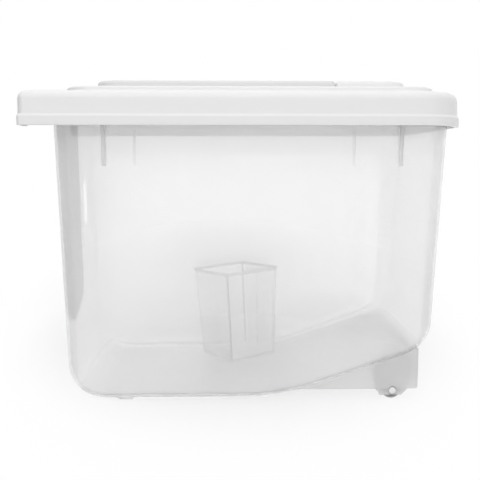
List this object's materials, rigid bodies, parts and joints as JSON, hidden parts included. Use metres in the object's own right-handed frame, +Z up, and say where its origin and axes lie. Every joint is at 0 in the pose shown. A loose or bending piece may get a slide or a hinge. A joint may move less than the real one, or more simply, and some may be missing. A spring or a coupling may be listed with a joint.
{
  "type": "rice bin",
  "caption": "Lidded rice storage bin with a hinged flip door in the lid, a sloped rear floor, two rear wheels and a loose measuring cup.",
  "frame": {"origin": "on the ground under the centre of the lid", "axes": "+X towards the wheels at the rear, +Y towards the right-hand side, +Z up"},
  "size_m": [0.39, 0.235, 0.295],
  "materials": {
    "container_plastic": "milky translucent polypropylene, satin",
    "housing_plastic": "satin moulded plastic",
    "axle_steel": "bright turned steel",
    "wheel_plastic": "satin moulded plastic",
    "lid_plastic": "white satin polypropylene",
    "door_plastic": "white satin polypropylene",
    "cup_plastic": "clear moulded plastic"
  },
  "bodies": {
    "bin": {"container": "container_plastic", "caster_housing_left": "housing_plastic", "caster_housing_right": "housing_plastic", "axle_left": "axle_steel", "axle_right": "axle_steel"},
    "lid": {"lid": "lid_plastic"},
    "flip_lid": {"flip_lid": "door_plastic"},
    "wheel_left": {"wheel_left": "wheel_plastic"},
    "wheel_right": {"wheel_right": "wheel_plastic"},
    "cup": {"measuring_cup": "cup_plastic"}
  },
  "joints": [
    {"name": "lid_lift", "type": "slide", "parent": "bin", "child": "lid", "axis": [0, 0, 1], "range_m": [0, 0.08]},
    {"name": "flip_lid_hinge", "type": "hinge", "parent": "lid", "child": "flip_lid", "pos_m": [0.079, 0, 0.2919], "axis": [0, 1, 0], "range_deg": [0, 105]},
    {"name": "wheel_left_spin", "type": "hinge", "parent": "bin", "child": "wheel_left", "pos_m": [0.1382, -0.0772, 0.009], "axis": [0, 1, 0], "continuous": true},
    {"name": "wheel_right_spin", "type": "hinge", "parent": "bin", "child": "wheel_right", "pos_m": [0.1382, 0.0772, 0.009], "axis": [0, 1, 0], "continuous": true},
    {"name": "cup_lift", "type": "slide", "parent": "bin", "child": "cup", "axis": [0, 0, 1], "range_m": [0, 0.15]}
  ]
}
